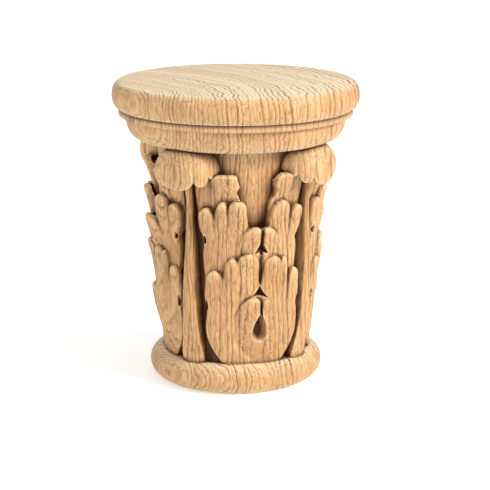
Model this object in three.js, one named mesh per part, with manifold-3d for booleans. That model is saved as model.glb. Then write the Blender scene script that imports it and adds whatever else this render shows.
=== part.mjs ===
// Column capital carved from one block of wood, in mm, standing on its base ring, +Z up.
// A turned bell between a base ring and a round abacus carries four acanthus leaves.
// Between the leaves four stems rise and open into scalloped scroll hoods.
// The middle of one leaf faces -Y, and the stems stand on the diagonals.

import * as THREE from 'three';
import { mergeVertices } from 'three/addons/utils/BufferGeometryUtils.js';
import Module from 'manifold-3d';

const wasm = await Module();
wasm.setup();

// Turned mouldings, from the bottom up
const baseRingRadius = 43.6;
const baseRingHeight = 15;
const bellHeight = 107.3;
const bellFootRadius = 33.6;
const bellLipRadius = 39.6;
const bellFlare = 2.2;
const ovoloFootRadius = 47.8;
const ovoloTopRadius = 54.7;
const ovoloHeight = 11.4;
const filletRadius = 58;
const filletHeight = 3.3;
const abacusRadius = 61.2;
const abacusHeight = 13;
const noseShare = 0.3;
const turnedSides = 40;

// Carving: heights are drawn above the base ring for a bell of this height and follow the bell
const carvingDrawnFor = 107.3;
const leafCount = 4;
const leafThickness = 2.6;
const eyeDepth = 5;
const eyeFloorShare = 0.35;
const eyeAngle = 5.8;
const bossFall = 1.2;
const leafHalfAngle = 34;
const tipRounding = 1.2;
const slotDeepening = 1.6;
const leafletAngle = 4;
const leafletHalfAngle = 13;
const leafletFall = 2.2;
const stemCrown = 0.8;
const rootDepth = 3;

// Scroll hoods: the middle of a hood stands out from the bell's lip and a little aside
const hoodHalfWidth = 15.2;
const hoodReach = 12.8;
const hoodOutset = 2.8;
const hoodSideShift = -1.8;
const hoodRise = 0.6;
const hoodHeight = 18.5;
const hoodCrownShare = 0.48;
const hoodTuck = 1.35;
const hoodLeastSwell = 0.12;
const hoodShell = 2.4;
const hoodRimShell = 0.8;
const hoodSquareness = 2.6;

const degrees = Math.PI / 180;
const baseTop = baseRingHeight;
const bellTop = baseTop + bellHeight;
const ovoloTop = bellTop + ovoloHeight;
const filletTop = ovoloTop + filletHeight;
const abacusTop = filletTop + abacusHeight;
const carvingScale = bellHeight / carvingDrawnFor;
const quarterTurn = (2 * Math.PI) / leafCount;
const columnSpread = 4 / leafCount;

// Smooth value at a place along a short list of [place, value] stops
function along(stops, place) {
  const last = stops.length - 1;
  if (place <= stops[0][0]) {
    return stops[0][1];
  }
  if (place >= stops[last][0]) {
    return stops[last][1];
  }
  const i = stops.findIndex((stop, n) => place < stops[n + 1][0]);
  const slope = (a, b) => (stops[b][1] - stops[a][1]) / (stops[b][0] - stops[a][0]);
  const inner = slope(i, i + 1);
  const before = i > 0 ? (slope(i - 1, i) + inner) / 2 : inner;
  const after = i + 1 < last ? (inner + slope(i + 1, i + 2)) / 2 : inner;
  const span = stops[i + 1][0] - stops[i][0];
  const t = (place - stops[i][0]) / span;
  const rise = stops[i + 1][1] - stops[i][1];
  const cubic = t * t * (3 - 2 * t);
  return stops[i][1] + rise * cubic
    + span * (before * t * (1 - t) * (1 - t) - after * t * t * (1 - t));
}

function smoothStep(t) {
  const held = Math.min(Math.max(t, 0), 1);
  return held * held * (3 - 2 * held);
}

// Height in mm above the floor of a height drawn above the base ring
function carvedHeight(drawn) {
  return baseTop + drawn * carvingScale;
}

function bellRadius(drawn) {
  const share = Math.min(Math.max(drawn / carvingDrawnFor, 0), 1);
  return bellFootRadius + (bellLipRadius - bellFootRadius) * share ** bellFlare;
}

function asSolid(geometry) {
  const bare = geometry.clone();
  bare.deleteAttribute('normal');
  bare.deleteAttribute('uv');
  const welded = mergeVertices(bare, 1e-5);
  return new wasm.Manifold(new wasm.Mesh({
    numProp: 3,
    vertProperties: new Float32Array(welded.attributes.position.array),
    triVerts: new Uint32Array(welded.index.array),
  }));
}

function asGeometry(solid) {
  const mesh = solid.getMesh();
  const geometry = new THREE.BufferGeometry();
  geometry.setAttribute('position', new THREE.BufferAttribute(mesh.vertProperties, 3));
  geometry.setIndex(new THREE.BufferAttribute(mesh.triVerts, 1));
  return geometry;
}

function joined(solids) {
  return solids.reduce((sum, next) => sum.add(next));
}

// Moves every point of a geometry to the place that a function gives for it
function bent(geometry, place) {
  const points = geometry.attributes.position;
  for (let i = 0; i < points.count; i += 1) {
    const [x, y, z] = place(points.getX(i), points.getY(i), points.getZ(i));
    points.setXYZ(i, x, y, z);
  }
  return geometry;
}

// A place on the capital from an angle off the leaf's middle, a drawn height and a radius
function onBell(angle, drawn, radius) {
  const turn = angle * columnSpread * degrees;
  return [radius * Math.sin(turn), -radius * Math.cos(turn), carvedHeight(drawn)];
}

// The leaf narrows to its neck just above the base ring
function neckSpread(drawn) {
  return along([[0, 0.68], [3, 0.76], [8, 0.89], [14, 0.98], [18, 1]], drawn);
}

function unspread() {
  return 1;
}

// Rooted under the bell's surface, so that the carving and the bell are one solid
function insideBell(drawn) {
  return bellRadius(drawn) - rootDepth;
}

// A side lobe: a crowned strip that rises from its foot to a rounded tip.
// Its left and right edges are stops of [height, angle], and each edge has a shoulder
// from which it rounds in to the tip. Above freeFrom it stands clear of the bell.
function petal({ foot, left, right, tip, rise = 3, crown = 1, freeFrom, front, spread }) {
  const leftShoulder = left[left.length - 1][0];
  const rightShoulder = right[right.length - 1][0];
  const tipTurns = [42, 80];
  const rows = rise + tipTurns.length;
  const columns = 2;
  const box = new THREE.BoxGeometry(1, 1, 1, columns, rows, 1);
  return asSolid(bent(box, (x, y, z) => {
    const row = Math.round((y + 0.5) * rows);
    const side = Math.round(x * 2);
    const share = Math.min(row / rise, 1);
    const turn = row > rise ? tipTurns[row - rise - 1] * degrees : 0;
    const edges = [[left, leftShoulder], [right, rightShoulder]].map(([stops, shoulder]) => {
      const below = foot + (shoulder - foot) * share;
      const angle = along(stops, below);
      return [
        tip[0] + (angle - tip[0]) * Math.cos(turn),
        below + (tip[1] - shoulder) * Math.sin(turn),
      ];
    });
    const middle = [(edges[0][0] + edges[1][0]) / 2, (edges[0][1] + edges[1][1]) / 2];
    const [angle, drawn] = side === 0 ? middle : edges[side < 0 ? 0 : 1];
    const tipDrop = tipRounding * Math.sin(turn) ** 3;
    const face = front(angle, drawn) - crown * side ** 2 - tipDrop;
    const free = freeFrom !== undefined && drawn > freeFrom;
    const back = free ? face - leafThickness : insideBell(drawn);
    return onBell(angle * spread(drawn), drawn, z > 0 ? face : back);
  }));
}

// Lobes side by side in one sheet of the leaf, each crowned and parted from the next by a
// groove. A lobe has a left edge, a tip and a right edge of [angle, height], and a slot may
// follow it.
function lobedPanel({ foot, lobes, levels, crown = 1, front, spread }) {
  const columns = [];
  lobes.forEach((part, n) => {
    const shared = n > 0 && !lobes[n - 1].slot;
    const steps = part.narrow ? [-1, 0, 1] : [-1, -0.7, 0, 0.7, 1];
    for (const across of shared ? steps.slice(1) : steps) {
      const side = across < 0 ? part.left : part.right;
      const away = Math.abs(across);
      columns.push({
        angle: part.tip[0] + (side[0] - part.tip[0]) * away,
        top: side[1] + (part.tip[1] - side[1]) * Math.sqrt(1 - away ** 2),
        drop: crown * away ** 2,
      });
    }
    if (part.slot) {
      columns.push({ angle: part.slot[0], top: part.slot[1], drop: crown * slotDeepening });
    }
  });
  const across = columns.length - 1;
  const rows = levels.length - 1;
  const box = new THREE.BoxGeometry(1, 1, 1, across, rows, 1);
  return asSolid(bent(box, (x, y, z) => {
    const column = columns[Math.round((x + 0.5) * across)];
    const level = levels[Math.round((y + 0.5) * rows)];
    const drawn = foot + (column.top - foot) * level;
    const tipDrop = level === 1 ? tipRounding : 0;
    const face = front(column.angle, drawn) - column.drop * smoothStep(level) - tipDrop;
    return onBell(column.angle * spread(drawn), drawn, z > 0 ? face : insideBell(drawn));
  }));
}

// A plain block with a curved face between two angles and two heights
function curvedBlock(angles, heights, front) {
  return asSolid(bent(new THREE.BoxGeometry(1, 1, 1, 2, 1, 1), (x, y, z) => {
    const angle = angles[0] + (angles[1] - angles[0]) * (x + 0.5);
    const drawn = y > 0 ? heights[1] : heights[0];
    return onBell(angle, drawn, z > 0 ? front(angle, drawn) : insideBell(drawn));
  }));
}

// A hole that narrows towards its floor, as an outline of few points round its middle
function hole({ middle, left, right, below, above, depth, floorShare = 0.6, corners = 4, front }) {
  const shape = new THREE.Shape();
  for (let i = 0; i < corners; i += 1) {
    const turn = (i / corners) * 2 * Math.PI;
    const wide = Math.cos(turn) > 0 ? right : left;
    const tall = Math.sin(turn) > 0 ? above : below;
    const point = [middle[0] + wide * Math.cos(turn), middle[1] + tall * Math.sin(turn)];
    if (i === 0) {
      shape.moveTo(...point);
    } else {
      shape.lineTo(...point);
    }
  }
  const plug = new THREE.ExtrudeGeometry(shape, { depth: 1, steps: 1, bevelEnabled: false });
  const surface = front(middle[0], middle[1]);
  return asSolid(bent(plug, (x, y, z) => {
    const share = z > 0.5 ? 2 - floorShare : floorShare;
    const angle = middle[0] + (x - middle[0]) * share;
    const drawn = middle[1] + (y - middle[1]) * share;
    return onBell(angle, drawn, surface + (z > 0.5 ? depth : -depth));
  }));
}

function blend(middle, edge, angle) {
  return middle + (edge - middle) * smoothStep(Math.abs(angle) / leafHalfAngle);
}

// Face of the lower tier of the leaf
function lowerFront(angle, drawn) {
  const middle = [[0, 2.7], [10, 3.2], [18, 4.3], [25, 5.4], [35, 6.6], [46, 7.8], [57, 9.9]];
  const edge = [[0, 3.4], [6, 4.6], [13, 5.8], [25, 6.9], [36, 7.4], [48, 8.6]];
  return bellRadius(drawn) + blend(along(middle, drawn), along(edge, drawn), angle);
}

// Lower tier: two main lobes, two small ones and two side lobes that stand free at their edge
function lowerTier() {
  const common = { foot: -3, front: lowerFront, spread: neckSpread };
  const middle = lobedPanel({
    ...common,
    levels: [0, 0.3, 0.56, 0.86, 1],
    lobes: [
      { left: [-22.4, 45], tip: [-16.6, 55.6], right: [-12.2, 52.6], narrow: true },
      { left: [-12.2, 52.6], tip: [-4.8, 57.2], right: [2.8, 51], slot: [3.7, 43] },
      { left: [4.6, 50], tip: [11.3, 55.7], right: [17.4, 53] },
      { left: [17.4, 53], tip: [20.2, 54.6], right: [24.2, 45.5], narrow: true },
    ],
  });
  const sides = [
    petal({ ...common, left: [[-3, -35.6], [20, -36], [36, -35.2]], right: [[-3, -20.6], [43, -21]],
      tip: [-28, 48], freeFrom: 31 }),
    petal({ ...common, left: [[-3, 22.6], [43, 23.6]], right: [[-3, 35.6], [20, 36], [36, 35.2]],
      tip: [28.2, 48], freeFrom: 31 }),
  ];
  return joined([middle, ...sides]);
}

// Face of the raised boss round the eye, which leans out to its top edge
function bossFront(angle, drawn) {
  const crown = along([[3.5, 3], [10, 4.6], [18, 7], [25, 8.5], [34, 9.8]], drawn);
  return bellRadius(drawn) + crown - bossFall * Math.abs((angle - eyeAngle) / 13) ** 2.2;
}

// The boss is an oval, narrow at its foot
function bossSpread(drawn) {
  return along([[3.5, 0.35], [6, 0.66], [11, 0.92], [18, 1]], drawn);
}

// Boss of two leaflets with a slit between them
function boss() {
  return lobedPanel({
    foot: 3.5,
    crown: 0.5,
    levels: [0, 0.2, 0.5, 1],
    front: bossFront,
    spread: bossSpread,
    lobes: [
      { left: [-9, 21], tip: [1.6, 34.8], right: [4.2, 33.6], slot: [4.7, 26] },
      { left: [5.2, 33.6], tip: [7.8, 34.6], right: [18.6, 21] },
    ],
  });
}

// Face of the upper tier of the leaf
function upperFront(angle, drawn) {
  const middle = [[40, 5.8], [56, 6.1], [66, 7], [74, 8.1], [83, 9.8]];
  const edge = [[40, 5.6], [60, 6.2], [72, 6.8], [80, 8.2]];
  return bellRadius(drawn) + blend(along(middle, drawn), along(edge, drawn), angle);
}

// Upper tier, open in the middle above its two centre leaflets
function upperTier() {
  const common = { foot: 40, front: upperFront, spread: unspread };
  const levels = [0, 0.45, 0.82, 1];
  const left = lobedPanel({
    ...common,
    levels,
    lobes: [
      { left: [-26.6, 75], tip: [-20.9, 83.7], right: [-18.5, 81], narrow: true },
      { left: [-18.5, 81], tip: [-11.4, 83.8], right: [-5.7, 77] },
    ],
  });
  const right = lobedPanel({
    ...common,
    levels,
    crown: 1.3,
    lobes: [{ left: [8.6, 72], tip: [17.6, 82.5], right: [25.4, 75] }],
  });
  const sides = [
    petal({ ...common, left: [[40, -34.8], [56, -36], [64, -33.6], [72, -37.2]],
      right: [[40, -25], [75, -25.4]], tip: [-31.4, 79.6], freeFrom: 65, rise: 4 }),
    petal({ ...common, left: [[40, 24], [76, 26.4]],
      right: [[40, 31.5], [56, 33.2], [64, 31.6], [72, 34.4]], tip: [31, 79.5], freeFrom: 65,
      rise: 4 }),
  ];
  const core = curvedBlock([-7, 9], [40, 65], (angle, drawn) => upperFront(angle, drawn) - 2.6);
  return joined([left, right, core, ...sides]);
}

// The two centre leaflets that close the foot of the opening
function leaflets() {
  const crest = [[50, 6.6], [60, 8.6], [70, 10.6]];
  const front = (angle, drawn) => bellRadius(drawn) + along(crest, drawn)
    - leafletFall * ((angle - leafletAngle) / leafletHalfAngle) ** 2;
  return lobedPanel({
    foot: 50,
    crown: 0.5,
    levels: [0, 0.6, 1],
    front,
    spread: unspread,
    lobes: [
      { left: [-10, 61], tip: [0.4, 71], right: [3.2, 69], slot: [4.1, 59] },
      { left: [5, 69], tip: [7, 70.8], right: [16, 61] },
    ],
  });
}

// Blunt top lobes, which stand behind the upper tier on both sides of the opening
function topLobes() {
  const front = (angle, drawn) => bellRadius(drawn)
    + along([[76, 2.8], [84, 4.2], [90, 5.6], [97, 7.6]], drawn);
  const common = { foot: 74, front, spread: unspread, levels: [0, 0.7, 1], crown: 0.6 };
  return joined([
    lobedPanel({ ...common, lobes: [{ left: [-29.3, 92], tip: [-19, 97], right: [-11.4, 95] }] }),
    lobedPanel({ ...common, lobes: [{ left: [12.8, 95], tip: [19.4, 97], right: [24, 92] }] }),
  ]);
}

// Shoulders between the top lobes and the stems, running up under the hoods
function shoulders() {
  const front = (angle, drawn) => bellRadius(drawn) + along([[70, 2], [98, 4.8]], drawn);
  return joined([
    curvedBlock([-39.5, -26], [70, 98], front),
    curvedBlock([22, 37.5], [70, 98], front),
  ]);
}

// Stem on the diagonal, widest at the base ring, flaring again under its hood
function stem() {
  const halfWidths = [[-3, 6.8], [4, 6.5], [12, 5.3], [23, 4.3], [35, 3.7], [50, 2.8], [63, 2.2],
    [73, 1.9], [82, 1.9], [90, 3.6], [96, 7.5]];
  const lifts = [[-3, 4.4], [4, 6.2], [12, 7.6], [22, 8.6], [33, 9], [50, 8.4], [73, 6.2],
    [82, 5.6], [90, 6.2], [96, 7.4]];
  const heights = [-3, 8, 22, 50, 83, 90, 96];
  const columns = [-1, 0, 1];
  const box = new THREE.BoxGeometry(1, 1, 1, columns.length - 1, heights.length - 1, 1);
  return asSolid(bent(box, (x, y, z) => {
    const across = columns[Math.round((x + 0.5) * (columns.length - 1))];
    const drawn = heights[Math.round((y + 0.5) * (heights.length - 1))];
    const crown = stemCrown * (1 - across ** 2);
    const face = bellRadius(drawn) + along(lifts, drawn) - stemCrown + crown;
    const radius = z > 0 ? face : insideBell(drawn);
    const sideways = across * along(halfWidths, drawn);
    const turn = quarterTurn / 2 + sideways / face;
    return [radius * Math.sin(turn), -radius * Math.cos(turn), carvedHeight(drawn)];
  }));
}

// Height of a hood's scalloped rim, as a share of the hood's height, round its own middle
function rimShare(turn) {
  const lobes = [
    { from: -0.1, to: 46, low: 0, high: 0.24 },
    { from: 46, to: 70, low: 0.16, high: 0.4 },
    { from: 70, to: 92, low: 0.36, high: 0.5 },
  ];
  const away = Math.abs(turn);
  const found = lobes.find((part) => away >= part.from && away < part.to);
  if (!found) {
    return 0.5;
  }
  const middle = found.from < 0 ? 0 : (found.from + found.to) / 2;
  const half = found.to - middle;
  const off = Math.abs(away - middle) / half;
  return found.low + (found.high - found.low) * off ** 2.6;
}

function signedPower(value, power) {
  return Math.sign(value) * Math.abs(value) ** power;
}

// How wide a hood is at a share of its height: a dome above, and below it the sides curl in
function hoodSwell(share) {
  const crownStart = 1 - hoodCrownShare;
  const above = Math.max(share - crownStart, 0) / hoodCrownShare;
  const below = Math.max(crownStart - share, 0) / (crownStart * hoodTuck);
  return Math.max(Math.sqrt(Math.max(1 - above ** 2, 0)) * Math.sqrt(1 - below ** 2), hoodLeastSwell);
}

// Hollow scroll hood: a round-topped cup hanging mouth down from the ovolo, sunk in the bell
function hood() {
  const turns = [-180, -98, -74, -58, -46, -26, 0, 26, 46, 58, 74, 98, 180];
  const sides = turns.length - 1;
  const outerLevels = [1, 0.94, 0.76, 0.44, 0];
  const innerLevels = [0, 0.6, 0.62];
  const rows = outerLevels.length + innerLevels.length;
  const profile = [];
  for (let row = rows - 1; row >= 0; row -= 1) {
    const onAxis = row === 0 || row === rows - 1;
    profile.push(new THREE.Vector2(onAxis ? 0 : 1, row));
  }
  const cup = new THREE.LatheGeometry(profile, sides);
  const place = (x, y, z) => {
    const row = Math.round(y);
    const inner = row >= outerLevels.length;
    const level = inner ? innerLevels[row - outerLevels.length] : outerLevels[row];
    const step = Math.round((Math.atan2(x, z) / (2 * Math.PI)) * sides);
    const turn = turns[(step + sides) % sides];
    const share = rimShare(turn) + (1 - rimShare(turn)) * level;
    const onAxis = row === 0 || row === rows - 1;
    const swell = onAxis ? 0 : hoodSwell(share);
    const thin = inner ? hoodShell * (row === outerLevels.length ? hoodRimShell : 1) : 0;
    const power = 2 / hoodSquareness;
    const sideways = Math.max(hoodHalfWidth * swell - thin, 0)
      * signedPower(Math.sin(turn * degrees), power);
    const forward = Math.max(hoodReach * swell - thin, 0)
      * signedPower(Math.cos(turn * degrees), power);
    return [
      hoodSideShift + sideways,
      -(bellLipRadius + hoodOutset + forward),
      bellTop + hoodRise - hoodHeight * (1 - share),
    ];
  };
  return asSolid(bent(cup, place).rotateZ(quarterTurn / 2));
}

// The hollow of the eye, cut through the boss into the leaf
function eye() {
  return hole({
    middle: [eyeAngle, 17.4], left: 5, right: 5, below: 6.4, above: 8, depth: eyeDepth,
    floorShare: eyeFloorShare, corners: 10, front: bossFront,
  });
}

// One quarter of the carving: a leaf, the stem beside it and the hood above that
function quarterOfCarving() {
  const leaf = joined([
    lowerTier(),
    boss(),
    upperTier(),
    leaflets(),
    topLobes(),
    shoulders(),
  ]).subtract(eye());
  return joined([leaf, stem(), hood()]);
}

// Bell, base ring and mouldings turned round the axis
function turnedBody() {
  const ringRadius = baseRingHeight / 2;
  const profile = [new THREE.Vector2(0, 0)];
  const halfRound = 6;
  for (let i = 0; i <= halfRound; i += 1) {
    const turn = (i / halfRound) * Math.PI - Math.PI / 2;
    profile.push(new THREE.Vector2(
      baseRingRadius - ringRadius + ringRadius * Math.cos(turn),
      ringRadius + ringRadius * Math.sin(turn),
    ));
  }
  const bellStops = [0, 0.6, 1];
  for (const stop of bellStops) {
    profile.push(new THREE.Vector2(
      bellRadius(stop * carvingDrawnFor),
      baseTop + stop * bellHeight,
    ));
  }
  const ovoloSteps = 3;
  for (let i = 0; i <= ovoloSteps; i += 1) {
    const turn = (i / ovoloSteps) * (Math.PI / 2);
    profile.push(new THREE.Vector2(
      ovoloFootRadius + (ovoloTopRadius - ovoloFootRadius) * Math.sin(turn),
      ovoloTop - ovoloHeight * Math.cos(turn),
    ));
  }
  profile.push(new THREE.Vector2(filletRadius, ovoloTop));
  profile.push(new THREE.Vector2(filletRadius, filletTop));
  const noseSteps = 6;
  const noseDepth = abacusHeight * noseShare;
  for (let i = 0; i <= noseSteps; i += 1) {
    const turn = (i / noseSteps) * Math.PI - Math.PI / 2;
    profile.push(new THREE.Vector2(
      abacusRadius - noseDepth + noseDepth * Math.cos(turn),
      filletTop + abacusHeight / 2 + (abacusHeight / 2) * Math.sin(turn),
    ));
  }
  profile.push(new THREE.Vector2(0, abacusTop));
  return asSolid(new THREE.LatheGeometry(profile, turnedSides).rotateX(Math.PI / 2));
}

function carvedCapital() {
  const quarter = asGeometry(quarterOfCarving());
  let whole = turnedBody();
  for (let i = 0; i < leafCount; i += 1) {
    whole = whole.add(asSolid(quarter.clone().rotateZ(i * quarterTurn)));
  }
  const geometry = asGeometry(whole).toNonIndexed();
  geometry.computeVertexNormals();
  return geometry;
}

const paleOak = new THREE.MeshStandardMaterial({ color: 0xcfa673, roughness: 0.62, metalness: 0 });

const capital = new THREE.Mesh(carvedCapital(), paleOak);
capital.name = 'capital';

const columnCapital = new THREE.Group();
columnCapital.name = 'column_capital';
columnCapital.add(capital);

export default columnCapital;
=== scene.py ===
# Carved wooden column capital: a turned bell with base ring and round abacus, four acanthus
# leaves, and between them four stems that open into scalloped scroll hoods.
# Sizes in the dictionaries are millimetres on a capital 150 mm high. Heights in the carving
# count from the top of the base ring, and angles are degrees off the middle of the front leaf.
import math
import bmesh
import bpy
import numpy as np
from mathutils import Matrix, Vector
from mathutils.bvhtree import BVHTree


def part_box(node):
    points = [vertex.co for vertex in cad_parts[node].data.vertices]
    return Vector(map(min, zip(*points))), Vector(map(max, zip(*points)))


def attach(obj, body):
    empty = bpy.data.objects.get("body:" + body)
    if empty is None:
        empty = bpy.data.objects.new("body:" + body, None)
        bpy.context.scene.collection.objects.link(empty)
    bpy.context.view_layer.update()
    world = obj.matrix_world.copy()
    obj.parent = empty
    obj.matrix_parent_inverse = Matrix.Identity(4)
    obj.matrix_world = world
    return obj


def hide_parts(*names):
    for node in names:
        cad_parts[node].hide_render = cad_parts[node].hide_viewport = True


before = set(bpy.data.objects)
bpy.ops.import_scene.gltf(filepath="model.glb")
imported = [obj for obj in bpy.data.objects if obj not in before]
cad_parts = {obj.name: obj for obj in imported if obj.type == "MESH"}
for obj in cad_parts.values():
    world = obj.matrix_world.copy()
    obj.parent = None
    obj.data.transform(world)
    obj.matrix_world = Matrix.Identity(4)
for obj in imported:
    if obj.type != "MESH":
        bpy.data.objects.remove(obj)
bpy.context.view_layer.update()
lowCorner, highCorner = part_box("capital")
drawnHeight = 150.0
mm = (highCorner[2] - lowCorner[2]) / drawnHeight

turned = {
    "baseRingRadius": 43.6,
    "baseRingHeight": 15.0,
    "bellHeight": 107.3,
    "bellFootRadius": 33.6,
    "bellLipRadius": 39.6,
    "bellFlare": 2.2,
    "ovoloFootRadius": 47.8,
    "ovoloTopRadius": 54.7,
    "ovoloHeight": 11.4,
    "filletRadius": 58.0,
    "filletHeight": 3.3,
    "abacusRadius": 61.2,
    "noseDepth": 3.9,
    "arrisRound": 0.5,
    "sides": 192,
}
bellTop = turned["baseRingHeight"] + turned["bellHeight"]


# Smooth values at places along a short list of (place, value) stops
def along(stops, place):
    at = np.array([stop[0] for stop in stops], float)
    value = np.array([stop[1] for stop in stops], float)
    slope = np.diff(value) / np.diff(at)
    lean = np.empty(len(at))
    lean[0] = slope[0]
    lean[-1] = slope[-1]
    lean[1:-1] = (slope[:-1] + slope[1:]) / 2
    held = np.clip(place, at[0], at[-1])
    i = np.clip(np.searchsorted(at, held, side="right") - 1, 0, len(at) - 2)
    span = at[i + 1] - at[i]
    t = (held - at[i]) / span
    rise = (value[i + 1] - value[i]) * t * t * (3 - 2 * t)
    return value[i] + rise + span * (lean[i] * t * (1 - t) ** 2 - lean[i + 1] * t * t * (1 - t))


def ease(t):
    held = np.clip(t, 0, 1)
    return held * held * (3 - 2 * held)


def bellRadius(height):
    share = np.clip(height / turned["bellHeight"], 0, 1)
    spread = turned["bellLipRadius"] - turned["bellFootRadius"]
    return turned["bellFootRadius"] + spread * share ** turned["bellFlare"]


# Points in millimetres from angles off the leaf's middle, carving heights and radii
def onBell(angle, height, radius):
    turn = np.radians(angle)
    high = turned["baseRingHeight"] + height
    return np.stack(np.broadcast_arrays(radius * np.sin(turn), -radius * np.cos(turn), high), -1)


# A closed solid between two grids of points, rows going up and columns going right
def closedSheet(front, back):
    rows, columns = front.shape[:2]
    points = np.concatenate([front.reshape(-1, 3), back.reshape(-1, 3)])
    near = np.arange(rows * columns).reshape(rows, columns)
    far = near + rows * columns

    def quads(a, b, c, d):
        return np.stack([a.ravel(), b.ravel(), c.ravel(), d.ravel()], 1)

    faces = np.concatenate([
        quads(near[:-1, :-1], near[:-1, 1:], near[1:, 1:], near[1:, :-1]),
        quads(far[:-1, :-1], far[1:, :-1], far[1:, 1:], far[:-1, 1:]),
        quads(near[0, 1:], near[0, :-1], far[0, :-1], far[0, 1:]),
        quads(near[-1, :-1], near[-1, 1:], far[-1, 1:], far[-1, :-1]),
        quads(near[:-1, 0], near[1:, 0], far[1:, 0], far[:-1, 0]),
        quads(near[1:, -1], near[:-1, -1], far[:-1, -1], far[1:, -1]),
    ])
    return points, faces.tolist()


# A closed solid from rings of points set one above the other, with a fan of faces at both ends
def closedRings(rings):
    rows, columns = rings.shape[:2]
    grid = np.arange(rows * columns).reshape(rows, columns)
    after = np.roll(grid, -1, 1)
    centres = [rings[0].mean(0), rings[-1].mean(0)]
    points = np.concatenate([rings.reshape(-1, 3), centres])
    faces = np.stack([grid[:-1].ravel(), after[:-1].ravel(), after[1:].ravel(), grid[1:].ravel()], 1)
    first = np.full(columns, rows * columns)
    ends = np.concatenate([
        np.stack([first, after[0], grid[0]], 1),
        np.stack([first + 1, grid[-1], after[-1]], 1),
    ])
    return points, faces.tolist() + ends.tolist()


def meshFrom(name, solids):
    points = []
    faces = []
    count = 0
    for solidPoints, solidFaces in solids:
        points.append(solidPoints)
        faces += [[corner + count for corner in face] for face in solidFaces]
        count += len(solidPoints)
    mesh = bpy.data.meshes.new(name)
    mesh.from_pydata((np.concatenate(points) * mm).tolist(), [], faces)
    mesh.validate()
    piece = bpy.data.objects.new(name, mesh)
    bpy.context.collection.objects.link(piece)
    return piece


# Lobes of the leaf. Left and right edges are stops of (height, angle), and the tip is
# (angle, height). Both edges roll over by their own stops of (height, millimetres).
lobeForm = {
    "rows": 56,
    "columns": 30,
    "tipRows": 0.4,         # share of the rows in the rounded tip
    "tipTurn": 0.985,       # share of a quarter turn, so that the top row isn't a single point
    "rollPower": 3.2,       # the higher, the closer to the edge the roll begins
    "edgeRound": 0.9,
    "tipRound": 1.1,
    "flutes": 2,
    "rootDepth": 3.0,       # how far a rooted lobe reaches into the bell
    "thickness": 2.3,
    "undercut": 4.0,        # height over which the pocket behind a free lobe deepens
}


# Grid of a lobe's angles and heights. The rows rise from the foot and round the tip, and the
# columns crowd towards both edges.
def lobeGrid(foot, left, right, tip, squareness):
    form = lobeForm
    rise = np.linspace(0, 1, form["rows"] + 1)[:, None]
    across = np.sin(np.linspace(-math.pi / 2, math.pi / 2, form["columns"] + 1))[None, :]
    body = 1 - form["tipRows"]
    turn = np.clip((rise - body) / form["tipRows"], 0, form["tipTurn"]) * math.pi / 2
    inward = np.cos(turn) ** (2 / squareness)
    upward = np.sin(turn) ** (2 / squareness)

    def edge(stops):
        shoulder = stops[-1][0]
        below = foot + (shoulder - foot) * np.minimum(rise / body, 1)
        angle = along(stops, below)
        return tip[0] + (angle - tip[0]) * inward, below + (tip[1] - shoulder) * upward

    leftAngle, leftHeight = edge(left)
    rightAngle, rightHeight = edge(right)
    angle = leftAngle * (1 - across) / 2 + rightAngle * (1 + across) / 2
    height = leftHeight * (1 - across) / 2 + rightHeight * (1 + across) / 2
    return angle, height, rise, across, np.sin(turn)


# How far a lobe's face falls away at its edges, at its tip and in its flutes
def lobeFall(height, rise, across, tipRise, roll, rollRight, fluteDepth):
    form = lobeForm
    off = np.abs(across)
    edgeRoll = np.where(across < 0, along(roll, height), along(rollRight or roll, height))
    rim = 1 - (1 - off ** 5) * (1 - tipRise ** 5)
    rounding = form["edgeRound"] * rim ** 3 * np.minimum(edgeRoll, 1)
    flutes = 0.5 - 0.5 * np.cos(math.pi * form["flutes"] * (across + 1))
    fluted = fluteDepth * flutes * ease(rise * 1.4 - 0.2)
    return edgeRoll * off ** form["rollPower"] + rounding + form["tipRound"] * tipRise ** 4 + fluted


def lobe(foot, left, right, tip, front, roll, rollRight=None, freeFrom=None,
         thickness=lobeForm["thickness"], squareness=2.0, spread=None, fluteDepth=0.0):
    angle, height, rise, across, tipRise = lobeGrid(foot, left, right, tip, squareness)
    fall = lobeFall(height, rise, across, tipRise, roll, rollRight, fluteDepth)
    face = front(angle, height) - fall
    deep = bellRadius(height) - lobeForm["rootDepth"]
    back = deep
    if freeFrom is not None:
        opened = ease((height - freeFrom) / lobeForm["undercut"])
        back = deep + (face - thickness - deep) * opened
    placed = angle * (spread(height) if spread else 1)
    return closedSheet(onBell(placed, height, face), onBell(placed, height, back))


# A plain solid between two angles and two heights that fills behind the lobes
def filler(angles, heights, front, sunk):
    angle = np.linspace(*angles, 17)[None, :]
    height = np.linspace(*heights, 33)[:, None]
    face = front(angle, height) - sunk + 0 * angle
    back = bellRadius(height) - lobeForm["rootDepth"] + 0 * angle
    angle = angle + 0 * height
    height = height + 0 * angle
    return closedSheet(onBell(angle, height, face), onBell(angle, height, back))


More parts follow.
